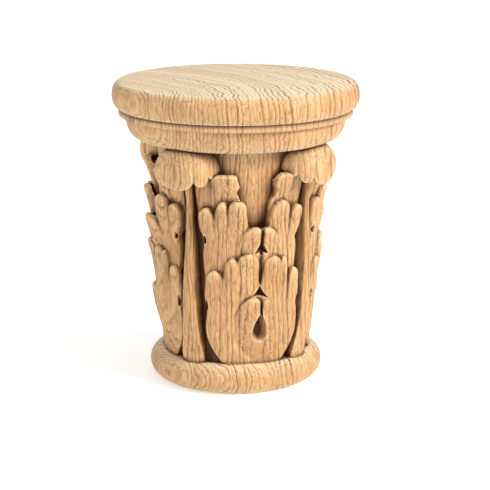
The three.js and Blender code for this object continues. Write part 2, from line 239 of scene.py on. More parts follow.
# The leaf's faces are lifts over the bell as stops of (height, millimetres), along its middle
# and along its edges
leaf = {
    "halfAngle": 34.0,
    "neck": ((0, 0.68), (3, 0.76), (8, 0.89), (14, 0.98), (18, 1)),
    "lowerMiddle": ((0, 2.7), (10, 3.2), (18, 4.3), (25, 5.4), (35, 6.6), (46, 7.9), (52, 9.0),
                    (57, 10.4)),
    "lowerEdge": ((0, 3.4), (6, 4.6), (13, 5.8), (25, 6.9), (36, 7.4), (48, 8.9)),
    "upperMiddle": ((40, 5.6), (56, 5.6), (66, 6.8), (74, 8.1), (79, 9.1), (83, 10.4)),
    "upperEdge": ((40, 5.6), (60, 6.0), (72, 6.8), (80, 8.3)),
    "leafletCrown": ((50, 6.6), (60, 9.0), (70, 11.2)),
    "leafletFall": 2.6,
    "leafletMiddle": 3.8,
    "leafletHalfAngle": 13.0,
    "topLobe": ((76, 3.2), (84, 5.2), (90, 6.8), (97, 9.0)),
    "shoulder": ((66, 1.2), (98, 5.4)),
}


def neckSpread(height):
    return along(leaf["neck"], height)


def leafFace(middle, edge, angle, height):
    inner = along(leaf[middle], height)
    outer = along(leaf[edge], height)
    return bellRadius(height) + inner + (outer - inner) * ease(np.abs(angle) / leaf["halfAngle"])


# The boss round the eye: a dome that drops to a valley on its left and runs over into the
# leaf on its right. A pair of a start and a length says where it comes in or fades.
boss = {
    "middle": 5.8,
    "height": 18.5,
    "halfWidth": 19.0,          # degrees
    "halfHeight": 16.5,
    "crown": ((3.5, 3.0), (10, 4.6), (18, 7.0), (25, 8.5), (34, 9.9)),
    "leftFall": 3.4,
    "rightFall": 1.3,
    "rightFallWidth": 13.0,
    "valley": 1.0,
    "valleyWidth": 0.12,
    "valleyAway": 1.03,         # times the dome's half width and half height
    "valleyHeights": (1, 5),
    "swell": 0.88,
    "swellAngles": (2, 8),
    "swellFadeAngles": (13, 14),
    "swellFadeHeights": (30, 16),
}


def reached(place, stretch):
    return ease((place - stretch[0]) / stretch[1])


def lowerFace(angle, height):
    across = (angle - boss["middle"]) / boss["halfWidth"]
    up = (height - boss["height"]) / boss["halfHeight"]
    away = np.sqrt(across ** 2 + up ** 2) - boss["valleyAway"]
    leftness = ease(-across * 1.6) * reached(height, boss["valleyHeights"])
    valley = boss["valley"] * np.exp(-(away / boss["valleyWidth"]) ** 2) * leftness
    rise = along(boss["crown"], height) - along(leaf["lowerMiddle"], height)
    rightness = reached(angle, boss["swellAngles"]) * (1 - reached(angle, boss["swellFadeAngles"]))
    lowness = 1 - reached(height, boss["swellFadeHeights"])
    swelling = boss["swell"] * np.maximum(rise, 0) * rightness * lowness
    return leafFace("lowerMiddle", "lowerEdge", angle, height) - valley + swelling


def bossFace(angle, height):
    off = angle - boss["middle"]
    fall = np.where(off < 0, boss["leftFall"] * np.abs(off / boss["halfWidth"]) ** 1.9,
                    boss["rightFall"] * np.abs(off / boss["rightFallWidth"]) ** 2.2)
    return bellRadius(height) + along(boss["crown"], height) - fall


def upperFace(angle, height):
    return leafFace("upperMiddle", "upperEdge", angle, height)


def leafletFace(angle, height):
    fall = leaf["leafletFall"] * ((angle - leaf["leafletMiddle"]) / leaf["leafletHalfAngle"]) ** 2
    return bellRadius(height) + along(leaf["leafletCrown"], height) - fall


def topLobeFace(angle, height):
    return bellRadius(height) + along(leaf["topLobe"], height) + 0 * angle


def shoulderFace(angle, height):
    return bellRadius(height) + along(leaf["shoulder"], height) + 0 * angle


def lowerTier():
    common = {"foot": -3, "front": lowerFace, "spread": neckSpread}
    soft = ((-3, 0), (30, 0.15), (42, 0.6), (50, 1.3), (57, 2.2))
    groove = ((-3, 0), (10, 0.3), (24, 0.8), (36, 1.5), (48, 2.5))
    return [
        lobe(left=((-3, -24), (25, -23.2), (45, -21.6)), right=((-3, -9), (46, -9.6)),
             tip=(-15.4, 54.8), roll=groove, rollRight=soft, freeFrom=46, squareness=2.2, **common),
        lobe(left=((-3, -14), (30, -13.6), (51, -12.6)),
             right=((-3, 4.5), (34, 4.2), (40, 3.6), (44, 2.8), (50, 3)),
             tip=(-3.6, 57.2), roll=soft, freeFrom=46, squareness=2.2, fluteDepth=0.35, **common),
        lobe(left=((-3, 4), (34, 4.4), (40, 4), (44, 5), (49, 5.6)), right=((-3, 16.5), (50, 19)),
             tip=(12.2, 55.4), roll=soft, freeFrom=46, squareness=2.2, fluteDepth=0.3, **common),
        lobe(left=((-3, 12), (47, 16.6)), right=((-3, 25.8), (44, 24.4)),
             tip=(20.8, 54.6), roll=soft, rollRight=groove, freeFrom=46, squareness=2.2, **common),
        lobe(left=((-3, -34.6), (20, -35.2), (28, -34), (35, -35.6), (41, -34.4)),
             right=((-3, -20), (42, -20.6)), tip=(-27.6, 48.2), freeFrom=30,
             roll=((-3, 0.3), (20, 0.9), (48, 1.5)), rollRight=groove, squareness=2.2, **common),
        lobe(left=((-3, 22.2), (42, 24.8)),
             right=((-3, 35.6), (20, 36.2), (29, 35), (36, 36), (41, 34.8)),
             tip=(29.2, 48), freeFrom=30, roll=groove, rollRight=((-3, 0.3), (20, 0.9), (48, 1.5)),
             squareness=2.2, **common),
        filler((-23, 25), (-3, 45), lowerFace, 2.8),
        filler((-1, 9), (40, 56.4), lowerFace, 3.6),
    ]


def bossLobes():
    outer = ((3.5, 0.1), (12, 0.4), (30, 0.5), (34, 0.8))
    inner = ((3.5, 0), (24, 0), (29, 0.6), (34, 1.0))
    return [
        lobe(foot=3.5, front=bossFace, tip=(-0.2, 34.9), roll=outer, rollRight=inner,
             left=((3.5, 0), (6, -6), (11, -10.6), (18, -13), (23, -12.4)),
             right=((3.5, 6.5), (24, 5), (28, 3.8), (32, 3.6))),
        lobe(foot=3.5, front=bossFace, tip=(9, 34.6), roll=inner, rollRight=outer,
             left=((3.5, 4), (24, 4), (28, 5), (32, 5.3)),
             right=((3.5, 11), (6, 15), (11, 18), (18, 19), (24, 18.6))),
    ]


def upperTier():
    common = {"foot": 40, "front": upperFace}
    soft = ((40, 0.1), (62, 0.3), (70, 0.7), (77, 1.5), (83, 2.2))
    groove = ((40, 0.2), (56, 0.6), (66, 1.2), (80, 2.3))
    side = ((40, 0.8), (60, 1.2), (80, 1.8))
    return [
        lobe(left=((40, -27), (73, -27)), right=((40, -15), (78, -18.2)),
             tip=(-20.8, 83), roll=groove, rollRight=soft, freeFrom=73, squareness=2.3, **common),
        lobe(left=((40, -19), (77, -18.4)), right=((40, -3), (62, -4.6), (72, -5), (78, -6)),
             tip=(-11.8, 83.3), roll=soft, freeFrom=74, squareness=2.5, fluteDepth=0.3, **common),
        lobe(left=((40, 6), (62, 7), (67, 8.6), (71, 9.6)), right=((40, 26), (76, 25.4)),
             tip=(19.2, 82.6), roll=soft, rollRight=groove, freeFrom=73, squareness=2.1, fluteDepth=0.35,
             **common),
        lobe(left=((40, -34.8), (56, -36.8), (63.5, -35.6), (69, -38.6), (73, -39)),
             right=((40, -24), (71, -26.2)), tip=(-32.8, 79.2), roll=side, rollRight=groove,
             freeFrom=64, squareness=2.2, **common),
        lobe(left=((40, 23), (74, 25.8)),
             right=((40, 32), (57, 34), (63.5, 32.8), (69, 36), (73, 36.8)),
             tip=(32, 79.2), roll=groove, rollRight=side, freeFrom=64, squareness=2.2, **common),
        filler((-8, 12), (40, 66), upperFace, 2.4),
        filler((-2, 10), (50, 68.6), leafletFace, 3.4),
    ]


def leaflets():
    common = {"foot": 50, "front": leafletFace, "freeFrom": 64, "thickness": 3.0, "squareness": 2.1}
    outer = ((50, 0.2), (71, 0.9))
    inner = ((50, 0.5), (71, 0.9))
    return [
        lobe(left=((50, -11), (58, -11.6)), right=((50, 2.8), (68, 2.8)), tip=(0.6, 70.4),
             roll=outer, rollRight=inner, **common),
        lobe(left=((50, 5), (68, 4.8)), right=((50, 17), (59, 16.6)), tip=(6.6, 70.2),
             roll=inner, rollRight=outer, **common),
    ]


def topLobes():
    common = {"foot": 72, "front": topLobeFace, "freeFrom": 90, "thickness": 3.4}
    edges = ((72, 0.3), (97, 0.8))
    return [
        lobe(left=((72, -30), (84, -29.4), (90, -28.4)),
             right=((72, -9), (84, -10.8), (87, -12.4), (90, -10.6), (93, -12)),
             tip=(-19.6, 96), roll=edges, squareness=4.5, **common),
        lobe(left=((72, 10), (82, 11.6), (86, 14.6), (88, 15), (90, 13.6)), right=((72, 25), (91, 25)),
             tip=(19.4, 95.9), roll=edges, squareness=3.2, **common),
        lobe(foot=66, left=((66, -41.5), (92, -42)), right=((66, -26), (92, -27.6)), tip=(-34, 98),
             front=shoulderFace, roll=edges, squareness=5),
        lobe(foot=66, left=((66, 21), (92, 22.4)), right=((66, 37), (92, 38.6)), tip=(30, 98),
             front=shoulderFace, roll=edges, squareness=5),
    ]


# Stem on the diagonal, widest at the base ring, flaring again under its hood
stemForm = {
    "halfWidths": ((-3, 7.3), (4, 7), (12, 5.7), (23, 4.7), (35, 4), (50, 3), (63, 2.3),
                   (73, 1.9), (86, 2), (91, 2.6), (95, 4.4), (98, 8)),
    "middle": 44.3,
    "rightShare": 0.72,     # the right edge stands nearer to the middle line than the left
    "lifts": ((-3, 4.4), (4, 6.2), (12, 7.6), (22, 8.6), (33, 9), (50, 8.4), (73, 6.2),
              (82, 5.6), (90, 6.4), (98, 9.4)),
    "low": -3.0,
    "high": 98.0,
    "crown": 0.7,
    "bevel": 1.1,
    "rows": 100,
    "columns": 24,
}


def stem():
    form = stemForm
    height = np.linspace(form["low"], form["high"], form["rows"] + 1)[:, None]
    s = np.sin(np.linspace(-math.pi / 2, math.pi / 2, form["columns"] + 1))[None, :]
    crown = form["crown"] * np.abs(s) ** 2
    bevel = form["bevel"] * ease((s - 0.35) / 0.6) + form["bevel"] * 0.4 * ease((-s - 0.6) / 0.4)
    face = bellRadius(height) + along(form["lifts"], height) - crown - bevel
    back = bellRadius(height) - lobeForm["rootDepth"] + 0 * s
    sideways = np.where(s > 0, form["rightShare"], 1) * s * along(form["halfWidths"], height)
    angle = form["middle"] + np.degrees(sideways / face)
    return [closedSheet(onBell(angle, height, face), onBell(angle, height, back))]


# Scroll hood: a hollow round-topped shell hanging from the ovolo, scalloped along its rim.
# A scallop runs between two turns round the hood, the same on both sides, hangs down to a
# height, and ends at notches with heights of their own.
hoodForm = {
    "halfWidth": 15.6,
    "reach": 12.8,
    "outFromAxis": 41.3,
    "sideShift": -1.2,
    "top": 109.0,
    "widest": 97.6,
    "crownHeight": 12.2,    # of the full dome, which runs on into the ovolo
    "tuckHeight": 14.5,     # the smaller, the more the rim curls in
    "shell": 2.4,
    "squareness": 2.5,
    "scallops": (
        {"start": -38, "end": 38, "low": 88.6, "atStart": 93.4, "atEnd": 93.4},
        {"start": 38, "end": 76, "low": 90.8, "atStart": 93.4, "atEnd": 95.6},
        {"start": 76, "end": 104, "low": 94.0, "atStart": 95.6, "atEnd": 97.0},
    ),
    "backRim": 96.6,
    "fluteDepth": 0.55,
    "fluteWidth": 4.0,      # degrees
    "flutes": (38, 76),
    "around": 180,
    "levels": 40,
    "innerLevels": 12,
    "innerTop": 0.6,        # share of the height at which the hollow inside ends
}


def hoodRim(turn):
    rim = np.full(turn.shape, hoodForm["backRim"])
    for part in hoodForm["scallops"]:
        away = turn if part["start"] < 0 else np.abs(turn)
        off = (2 * away - part["start"] - part["end"]) / (part["end"] - part["start"])
        high = np.where(off < 0, part["atStart"], part["atEnd"])
        hanging = part["low"] + (high - part["low"]) * np.minimum(np.abs(off), 1) ** 2.8
        rim = np.where(np.abs(off) <= 1, hanging, rim)
    return rim


def hood():
    form = hoodForm
    turn = np.linspace(-180, 180, form["around"] + 1)[:-1][None, :]
    rim = hoodRim(turn)
    power = 2 / form["squareness"]
    fluted = sum(np.exp(-((np.abs(turn) - at) / form["fluteWidth"]) ** 2) for at in form["flutes"])

    def ring(level, thin):
        height = rim + (form["top"] - rim) * level
        above = np.clip((height - form["widest"]) / form["crownHeight"], 0, 1)
        below = np.clip((form["widest"] - height) / form["tuckHeight"], 0, 1)
        swell = np.sqrt(1 - above ** 2) * np.sqrt(1 - below ** 2)
        groove = form["fluteDepth"] * fluted * (1 - level) ** 1.5
        side = np.sin(np.radians(turn))
        ahead = np.cos(np.radians(turn))
        width = form["halfWidth"] * swell - thin - groove
        reach = form["reach"] * swell - thin - groove
        x = form["sideShift"] + width * np.sign(side) * np.abs(side) ** power
        y = form["outFromAxis"] + reach * np.sign(ahead) * np.abs(ahead) ** power
        high = turned["baseRingHeight"] + height
        return np.stack(np.broadcast_arrays(x, -y, high), -1)

    outer = ring(np.linspace(1, 0, form["levels"])[:, None], 0)
    inner = ring(np.linspace(0, form["innerTop"], form["innerLevels"])[:, None], form["shell"])
    points = np.concatenate([outer, inner])
    turnBy = math.radians(45)
    x = points[..., 0] * math.cos(turnBy) - points[..., 1] * math.sin(turnBy)
    y = points[..., 0] * math.sin(turnBy) + points[..., 1] * math.cos(turnBy)
    return [closedRings(np.stack([x, y, points[..., 2]], -1))]


# Outline of a drop with its point up, and of a hollow-sided triangle standing on its base
def dropOutline(sharpness):
    turn = np.linspace(0, 2 * math.pi, 49)[:-1]
    return np.sin(turn) * np.sin(turn / 2) ** sharpness, np.cos(turn)


def triangleOutline(sharpness):
    corners = [(0, 1), (1, -1), (-1, -1)]
    pulls = [(0.42 * sharpness, -0.12), (0, -0.8), (-0.42 * sharpness, -0.12)]
    x, y = [], []
    for n, pull in enumerate(pulls):
        start, end = corners[n], corners[(n + 1) % 3]
        for t in np.arange(16) / 16:
            weights = ((1 - t) ** 2, 2 * t * (1 - t), t * t)
            x.append(sum(w * c[0] for w, c in zip(weights, (start, pull, end))))
            y.append(sum(w * c[1] for w, c in zip(weights, (start, pull, end))))
    return np.array(x), np.array(y)


# Hollows cut into the leaf, each narrowing towards its floor: the eye, the slit over it, and the
# pits above the boss and between the leaflets. A middle is (angle, height) and a half is
# (degrees, millimetres).
hollows = [
    {"middle": (3.9, 18.0), "half": (7.0, 8.0), "depth": 6.4, "floor": 0.35, "face": bossFace,
     "outline": dropOutline, "sharpness": 0.85},
    {"middle": (4.3, 28.8), "half": (1.3, 6.8), "depth": 3.0, "floor": 0.3, "face": bossFace,
     "outline": dropOutline, "sharpness": 0.4},
    {"middle": (3.4, 38.0), "half": (5.0, 3.0), "depth": 4.6, "floor": 0.4, "face": lowerFace,
     "outline": triangleOutline, "sharpness": 1},
    {"middle": (3.6, 60.9), "half": (5.2, 4.2), "depth": 5.6, "floor": 0.4, "face": leafletFace,
     "outline": triangleOutline, "sharpness": 1},
]
eyelets = [
    {"middle": (-33.4, 30.4), "half": (1.4, 3.2), "face": lowerFace},
    {"middle": (33.6, 30.4), "half": (1.4, 3.2), "face": lowerFace},
    {"middle": (-34.2, 63.4), "half": (1.5, 2.3), "face": upperFace},
    {"middle": (31.6, 63.4), "half": (1.3, 2.1), "face": upperFace},
]
eyeletCut = {"depth": 4.0, "floor": 0.6, "outline": dropOutline, "sharpness": 0.5}


def hollowPlug(cut):
    across, up = cut["outline"](cut["sharpness"])
    surface = cut["face"](np.array([[cut["middle"][0]]]), np.array([[cut["middle"][1]]]))
    depth = np.array([4.0, 0.0, -0.3, -0.6, -0.85, -1.0])[:, None]
    narrowing = (1 - cut["floor"]) * np.clip(-depth, 0, 1) ** 1.5
    shrink = np.where(depth > 0, 1.25, 1 - narrowing)
    radius = surface + np.where(depth > 0, depth, depth * cut["depth"])
    angle = cut["middle"][0] + cut["half"][0] * across[None, :] * shrink
    height = cut["middle"][1] + cut["half"][1] * up[None, :] * shrink
    return closedRings(onBell(angle, height, radius + 0 * angle))


def tidyNormals(piece):
    work = bmesh.new()
    work.from_mesh(piece.data)
    bmesh.ops.remove_doubles(work, verts=work.verts, dist=1e-7)
    bmesh.ops.dissolve_degenerate(work, edges=work.edges, dist=1e-8)
    bmesh.ops.recalc_face_normals(work, faces=work.faces)
    work.to_mesh(piece.data)
    work.free()


# Applies what modifiers a piece has, as a plain mesh
def applied(piece):
    graph = bpy.context.evaluated_depsgraph_get()
    mesh = bpy.data.meshes.new_from_object(piece.evaluated_get(graph))
    old = piece.data
    piece.modifiers.clear()
    piece.data = mesh
    bpy.data.meshes.remove(old)
    return piece


def combined(piece, other, operation):
    step = piece.modifiers.new("combine", "BOOLEAN")
    step.operation = operation
    step.solver = "MANIFOLD"
    step.object = other
    applied(piece)
    bpy.data.objects.remove(other)
    return piece


def triangleCount(piece):
    return sum(len(face.vertices) - 2 for face in piece.data.polygons)


def thinned(piece, most):
    count = triangleCount(piece)
    if count > most:
        step = piece.modifiers.new("thin", "DECIMATE")
        step.ratio = most / count
        applied(piece)
    return piece


# Removes the flaps that thinning leaves: faces laid on each other, and fins with loose edges
def healed(piece):
    work = bmesh.new()
    work.from_mesh(piece.data)
    sharing = {}
    for face in work.faces:
        sharing.setdefault(frozenset(face.verts), []).append(face)
    flaps = [face for faces in sharing.values() if len(faces) > 1 for face in faces]
    while flaps:
        bmesh.ops.delete(work, geom=flaps, context="FACES")
        flaps = [face for face in work.faces if sum(edge.is_boundary for edge in face.edges) > 1]
    work.to_mesh(piece.data)
    work.free()


carving = {
    "leaves": 4,
    "voxel": 0.4,
    "smoothing": 0.5,
    "smoothingPasses": 1,
    "mostTriangles": 190000,
}


# One leaf with the stem and the hood to its right, fused and slightly softened as by sanding
def carvedQuarter():
    solids = lowerTier() + bossLobes() + upperTier() + leaflets() + topLobes() + stem() + hood()
    quarter = meshFrom("quarterOfCarving", solids)
    fuse = quarter.modifiers.new("fuse", "REMESH")
    fuse.mode = "VOXEL"
    fuse.voxel_size = carving["voxel"] * mm
    applied(quarter)
    print("fused quarter:", triangleCount(quarter), "triangles")
    allCuts = hollows + [{**eyelet, **eyeletCut} for eyelet in eyelets]
    cuts = meshFrom("hollows", [hollowPlug(cut) for cut in allCuts])
    tidyNormals(cuts)
    combined(quarter, cuts, "DIFFERENCE")
    soften = quarter.modifiers.new("soften", "SMOOTH")
    soften.factor = carving["smoothing"]
    soften.iterations = carving["smoothingPasses"]
    applied(quarter)
    print("carved quarter:", triangleCount(quarter), "triangles")
    return quarter


# Node tree that sets copies of a piece round the upright axis
def roundTheAxis():
    tree = bpy.data.node_groups.new("roundTheAxis", "GeometryNodeTree")
    tree.interface.new_socket("Geometry", in_out="INPUT", socket_type="NodeSocketGeometry")
    count = tree.interface.new_socket("Count", in_out="INPUT", socket_type="NodeSocketInt")
    finish = tree.interface.new_socket("Finish", in_out="INPUT", socket_type="NodeSocketMaterial")
    tree.interface.new_socket("Geometry", in_out="OUTPUT", socket_type="NodeSocketGeometry")
    nodes, links = tree.nodes, tree.links
    given = nodes.new("NodeGroupInput")
    result = nodes.new("NodeGroupOutput")
    points = nodes.new("GeometryNodePoints")
    copies = nodes.new("GeometryNodeInstanceOnPoints")
    order = nodes.new("GeometryNodeInputIndex")
    step = nodes.new("ShaderNodeMath")
    step.operation = "DIVIDE"
    step.inputs[0].default_value = 2 * math.pi
    turn = nodes.new("ShaderNodeMath")
    turn.operation = "MULTIPLY"
    aim = nodes.new("ShaderNodeCombineXYZ")
    realized = nodes.new("GeometryNodeRealizeInstances")
    coated = nodes.new("GeometryNodeSetMaterial")
    links.new(given.outputs["Count"], points.inputs["Count"])
    links.new(given.outputs["Count"], step.inputs[1])
    links.new(step.outputs[0], turn.inputs[0])
    links.new(order.outputs[0], turn.inputs[1])
    links.new(turn.outputs[0], aim.inputs["Z"])
    links.new(points.outputs[0], copies.inputs["Points"])
    links.new(given.outputs["Geometry"], copies.inputs["Instance"])
    links.new(aim.outputs[0], copies.inputs["Rotation"])
    links.new(copies.outputs[0], realized.inputs[0])
    links.new(realized.outputs[0], coated.inputs["Geometry"])
    links.new(given.outputs["Finish"], coated.inputs["Material"])
    links.new(coated.outputs[0], result.inputs[0])
    return tree, count.identifier, finish.identifier


# Points along an arc of a profile, in degrees from straight outwards
def arcPoints(middle, reach, turns, count):
    return [(middle[0] + reach[0] * math.cos(math.radians(turn)),
             middle[1] + reach[1] * math.sin(math.radians(turn)))
            for turn in np.linspace(*turns, count)]


# Profile of the turned body from the axis at the foot to the axis at the top
def turnedProfile():
    form = turned
    ring = form["baseRingHeight"] / 2
    arris = form["arrisRound"]
    ovoloTop = bellTop + form["ovoloHeight"]
    filletTop = ovoloTop + form["filletHeight"]
    nose = (drawnHeight - filletTop) / 2
    baseRing = arcPoints((form["baseRingRadius"] - ring, ring), (ring, ring), (-90, 90), 21)
    bell = [(float(bellRadius(height)), form["baseRingHeight"] + height)
            for height in np.linspace(0, form["bellHeight"], 13)]
    ovoloReach = (form["ovoloTopRadius"] - form["ovoloFootRadius"], form["ovoloHeight"])
    ovolo = arcPoints((form["ovoloFootRadius"], ovoloTop), ovoloReach, (-90, 0), 13)
    fillet = arcPoints((form["filletRadius"] - arris, ovoloTop + arris), (arris, arris), (-90, 0), 4)
    fillet.append((form["filletRadius"], filletTop))
    abacus = arcPoints((form["abacusRadius"] - form["noseDepth"], filletTop + nose),
                       (form["noseDepth"], nose), (-90, 90), 23)
    return [(0, 0)] + baseRing + bell + ovolo + fillet + abacus + [(0, drawnHeight)]


def revolved(name, profile, sides):
    turns = np.linspace(0, 2 * math.pi, sides + 1)[:-1]
    inner = np.array(profile[1:-1])
    rings = np.stack(np.broadcast_arrays(
        inner[:, 0:1] * np.cos(turns), inner[:, 0:1] * np.sin(turns), inner[:, 1:2]), -1)
    piece = meshFrom(name, [closedRings(rings)])
    tidyNormals(piece)
    return piece


# Marks on the finished mesh for the wood's colour: how deep a place lies in a recess and where it bends
# into a crease, which set painted shade;
# how squarely the surface cuts the fibres, which sets the end grain and a painted highlight on the top;
# and where it bends to an edge, which sets a painted highlight
shading = {
    "rays": 18,
    "reach": 12.0,          # mm, how near a wall must be to shade a recess
    "nearness": 1.3,        # the higher, the more the nearest walls count
    "spread": 1.25,         # radians off the surface's normal
    "seed": 4,
    "bendPasses": 1,
    "fullBend": 1.1,        # per mm, the curvature of an edge with the full painted highlight
}


def recessMarks(mesh):
    tree = BVHTree.FromPolygons([v.co for v in mesh.vertices], [f.vertices for f in mesh.polygons])
    random = np.random.default_rng(shading["seed"])
    tilt = np.arccos(1 - random.random(shading["rays"]) * (1 - math.cos(shading["spread"])))
    around = 2 * math.pi * (np.arange(shading["rays"]) * 0.618 % 1)
    local = [Vector((math.sin(a) * math.cos(b), math.sin(a) * math.sin(b), math.cos(a)))
             for a, b in zip(tilt, around)]
    reach = shading["reach"] * mm
    recess = np.zeros(len(mesh.vertices))
    for n, vertex in enumerate(mesh.vertices):
        turn = vertex.normal.to_track_quat("Z", "Y")
        start = vertex.co + vertex.normal * 0.1 * mm
        for aim in local:
            far = tree.ray_cast(start, turn @ aim, reach)[3]
            if far is not None:
                recess[n] += (1 - far / reach) ** shading["nearness"]
    return recess / len(local)


# Curvature at every point, per millimetre: above zero in a crease and below zero on an edge
def bendMarks(points, normals, edges):
    count = np.bincount(edges.ravel(), minlength=len(points)).astype(float)[:, None]

    def ofNeighbours(values):
        total = np.zeros_like(values)
        np.add.at(total, edges[:, 0], values[edges[:, 1]])
        np.add.at(total, edges[:, 1], values[edges[:, 0]])
        return total / count

    squares = np.linalg.norm(points[edges[:, 0]] - points[edges[:, 1]], axis=1) ** 2
    total = np.bincount(edges[:, 0], squares, len(points))
    total += np.bincount(edges[:, 1], squares, len(points))
    lift = ((ofNeighbours(points) - points) * normals).sum(1)[:, None]
    bend = 4 * lift / (total[:, None] / count)
    for _ in range(shading["bendPasses"]):
        bend = (bend + ofNeighbours(bend)) / 2
    return bend[:, 0]


def markSurface(piece):
    mesh = piece.data
    flat = np.zeros(len(mesh.vertices) * 3)
    mesh.vertices.foreach_get("co", flat)
    points = flat.reshape(-1, 3) / mm
    flat = np.zeros(len(mesh.vertices) * 3)
    mesh.vertices.foreach_get("normal", flat)
    normals = flat.reshape(-1, 3)
    pairs = np.zeros(len(mesh.edges) * 2, int)
    mesh.edges.foreach_get("vertices", pairs)
    bend = bendMarks(points, normals, pairs.reshape(-1, 2)) / shading["fullBend"]
    marks = {
        "recess": recessMarks(mesh),
        "endGrain": np.abs(normals[:, 2]),
        "edgeHighlightMark": np.clip(-bend, 0, 1),
        "crease": np.clip(bend, 0, 1),
    }
    for name, values in marks.items():
        mesh.attributes.new(name, "FLOAT", "POINT").data.foreach_set("value", values)


# Colours, growth rings and finish of the wood, with painted shade for recesses and creases, a painted
# highlight for edges, and a pale colour that is end grain and also a painted highlight on the top. A
# share says how strongly a mark covers.
wood = {
    "pale": (0.53, 0.348, 0.166),
    "tan": (0.325, 0.153, 0.052),
    "line": (0.13, 0.05, 0.017),
    # Pale end grain, which also paints the highlight of the lit top
    "paleEndGrainAndTopHighlight": (0.80, 0.69, 0.48),
    # Painted highlight along the edges
    "edgeHighlight": (0.68, 0.46, 0.25),
    # Painted shade in recesses and creases, with the range of the recess mark that it covers
    "paintedShadeTint": (0.2, 0.105, 0.05),
    "paintedShadeRange": (0.17, 0.5),
    "endGrainAndHighlightShare": 0.9,
    "patchShare": 0.6,
    "streakShare": 0.75,
    "softRingShare": 0.6,
    "lineShare": 0.95,
    "poreShare": 0.65,
    "fibreShare": 0.3,
    # shares of the painted highlight on edges and of the painted shade in creases
    "edgeHighlightShare": 0.7,
    "creaseShadeShare": 0.7,
    "lineGain": 2.7,
    "lineRise": 9.0,                # per year's growth, to the line's full strength
    "lineFade": 1.15,               # per year's growth, from there to nothing
    "ringSpacing": 2.0,             # mm, at the spacing distance from the pith
    "spacingDistance": 85.0,
    "widening": 0.8,                # power with which the rings widen outwards
    "pithAngle": -62.0,             # degrees off the front leaf's middle
    "pithDistance": 103.2,
    "pithLean": 7.0,                # degrees
    "wanderReach": (13, 13, 9),     # mm
    "trembleReach": (4, 4, 0),
    "roughness": 0.54,
    "fibreRoughness": 0.18,
    "specular": 0.35,
    "bumpStrength": 0.5,
    "bumpDepth": 0.25,
}

# Noises of the grain. A stretch under 1 draws one out along the trunk, the scale is per mm, and
# a mark shows where the noise lies between two levels.
grainNoises = {
    "wander": {"stretch": 0.3, "scale": 0.03, "detail": 2.0, "rough": 0.5},
    "tremble": {"stretch": 0.3, "scale": 0.13, "detail": 3.0, "rough": 0.5},
    "broken": {"stretch": 0.12, "scale": 0.8, "detail": 4.0, "rough": 0.65, "levels": (0.34, 0.60)},
    "streak": {"stretch": 0.05, "scale": 1.2, "detail": 5.0, "rough": 0.7, "levels": (0.42, 0.64)},
    "fibre": {"stretch": 0.06, "scale": 3.2, "detail": 3.0, "rough": 0.6, "levels": (0.45, 0.75)},
    "pores": {"stretch": 0.1, "scale": 2.0, "detail": 2.0, "rough": 0.5, "levels": (0.55, 0.66)},
    "patch": {"stretch": 0.3, "scale": 0.06, "detail": 3.0, "rough": 0.6, "levels": (0.38, 0.68)},
}


# Gives a node's input a value, or joins it to what another node gives
def feed(tree, socket, value):
    if isinstance(value, tuple) and socket.type == "RGBA":
        socket.default_value = (*value, 1)
    elif isinstance(value, (int, float, tuple)):
        socket.default_value = value
    else:
        tree.links.new(value, socket)


def calc(tree, kind, first, second=0.0, clamp=False):
    node = tree.nodes.new("ShaderNodeMath")
    node.operation = kind
    node.use_clamp = clamp
    feed(tree, node.inputs[0], first)
    feed(tree, node.inputs[1], second)
    return node.outputs[0]


def times(tree, first, second, clamp=False):
    return calc(tree, "MULTIPLY", first, second, clamp)


def mapped(tree, vector, scale=(1, 1, 1), shift=(0, 0, 0), turn=(0, 0, 0)):
    node = tree.nodes.new("ShaderNodeMapping")
    feed(tree, node.inputs["Vector"], vector)
    feed(tree, node.inputs["Location"], shift)
    feed(tree, node.inputs["Rotation"], turn)
    feed(tree, node.inputs["Scale"], scale)
    return node.outputs[0]


def mixed(tree, share, first, second, kind="MIX"):
    node = tree.nodes.new("ShaderNodeMix")
    node.data_type = "RGBA"
    node.blend_type = kind
    feed(tree, node.inputs[0], share)
    feed(tree, node.inputs[6], first)
    feed(tree, node.inputs[7], second)
    return node.outputs[2]


def between(tree, value, levels):
    node = tree.nodes.new("ShaderNodeMapRange")
    feed(tree, node.inputs["From Min"], levels[0])
    feed(tree, node.inputs["From Max"], levels[1])
    feed(tree, node.inputs["Value"], value)
    return node.outputs[0]


def attribute(tree, name):
    node = tree.nodes.new("ShaderNodeAttribute")
    node.attribute_name = name
    return node.outputs["Fac"]


def grainNoise(tree, inMm, name, output="Fac"):
    form = grainNoises[name]
    node = tree.nodes.new("ShaderNodeTexNoise")
    feed(tree, node.inputs["Vector"], mapped(tree, inMm, scale=(1, 1, form["stretch"])))
    feed(tree, node.inputs["Scale"], form["scale"])
    feed(tree, node.inputs["Detail"], form["detail"])
    feed(tree, node.inputs["Roughness"], form["rough"])
    return node.outputs[output]


def grainMarks(tree, inMm, name):
    return between(tree, grainNoise(tree, inMm, name), grainNoises[name]["levels"])


# A place pushed aside by a noise, up to a reach each way
def pushed(tree, place, push, reach):
    node = tree.nodes.new("ShaderNodeVectorMath")
    node.operation = "MULTIPLY_ADD"
    feed(tree, node.inputs[0], push)
    feed(tree, node.inputs[1], reach)
    feed(tree, node.inputs[2], place)
    return node.outputs[0]


